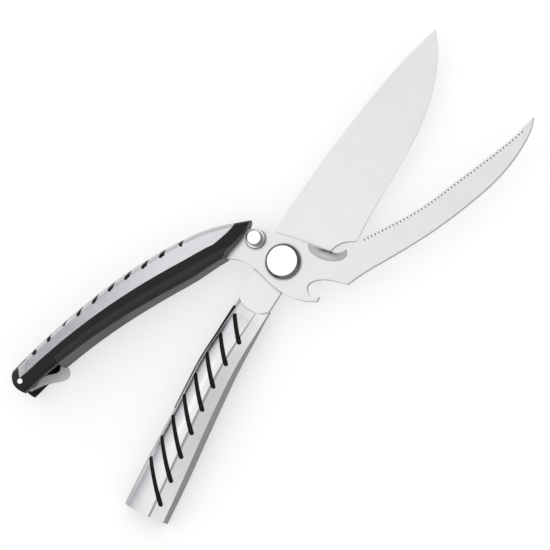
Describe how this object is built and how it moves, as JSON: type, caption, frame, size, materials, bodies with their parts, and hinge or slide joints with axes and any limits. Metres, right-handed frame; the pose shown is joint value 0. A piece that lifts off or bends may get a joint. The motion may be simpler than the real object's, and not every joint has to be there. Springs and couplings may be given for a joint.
{
  "type": "kitchen shears",
  "caption": "Spring-opened kitchen shears with a knife blade, a serrated blade, slotted steel and black handles, a bottle-opener hook, a release button and an end latch.",
  "frame": {"origin": "on the pivot axis, at the flat rear face of the pivot bolt's head", "axes": "+Z along the pivot axis, from the bolt head to the cap; +Y from the pivot to the knife tip, with the shears open at their stop; +X to the right, seen from the cap"},
  "size_m": [0.1468, 0.2622, 0.0236],
  "materials": {
    "blade_steel": "fine brushed",
    "bright_steel": "polished",
    "cover_steel": "satin brushed",
    "spring_steel": "drawn wire",
    "rivet_steel": "satin",
    "lever_metal": "satin light grey",
    "washer_plastic": "plain",
    "black_core": "fine grained",
    "black_inlay": "plain",
    "black_grip": "soft grained"
  },
  "bodies": {
    "knife_half": {"knife_blade": "blade_steel", "pivot_bolt": "bright_steel", "thrust_washer": "washer_plastic", "pivot_cap": "bright_steel", "torsion_spring": "spring_steel", "lower_handle_cover": "cover_steel", "lower_handle_core": "black_core", "lower_handle_inlay": "black_inlay", "lower_handle_grip": "black_grip", "lower_tang_rivets": "rivet_steel", "catch_pin": "rivet_steel"},
    "serrated_half": {"serrated_blade": "blade_steel", "upper_handle_cover": "cover_steel", "upper_handle_core": "black_core", "upper_handle_inlay": "black_inlay", "upper_handle_grip": "black_grip", "upper_tang_rivets": "rivet_steel", "tail_block": "black_core", "latch_rivet": "rivet_steel", "latch_washer": "washer_plastic", "button_collar": "bright_steel", "button_spring": "spring_steel"},
    "latch": {"latch_lever": "lever_metal"},
    "button": {"release_button": "bright_steel", "stop_ring": "bright_steel"}
  },
  "joints": [
    {"name": "close_shears", "type": "hinge", "parent": "knife_half", "child": "serrated_half", "pos_m": [0, 0, 0], "axis": [0, 0, 1], "range_deg": [0, 28], "stiffness_Nm_per_rad": 1, "springref_deg": -22.92, "deforming": ["torsion_spring"]},
    {"name": "swing_latch", "type": "hinge", "parent": "serrated_half", "child": "latch", "pos_m": [-0.07287, -0.11234, -0.0004], "axis": [0, 0, 1], "range_deg": [-110, 0]},
    {"name": "press_button", "type": "slide", "parent": "serrated_half", "child": "button", "axis": [0, 0, -1], "range_m": [0, 0.00315], "stiffness_N_per_m": 500, "springref_m": -0.002, "deforming": ["button_spring"]}
  ]
}
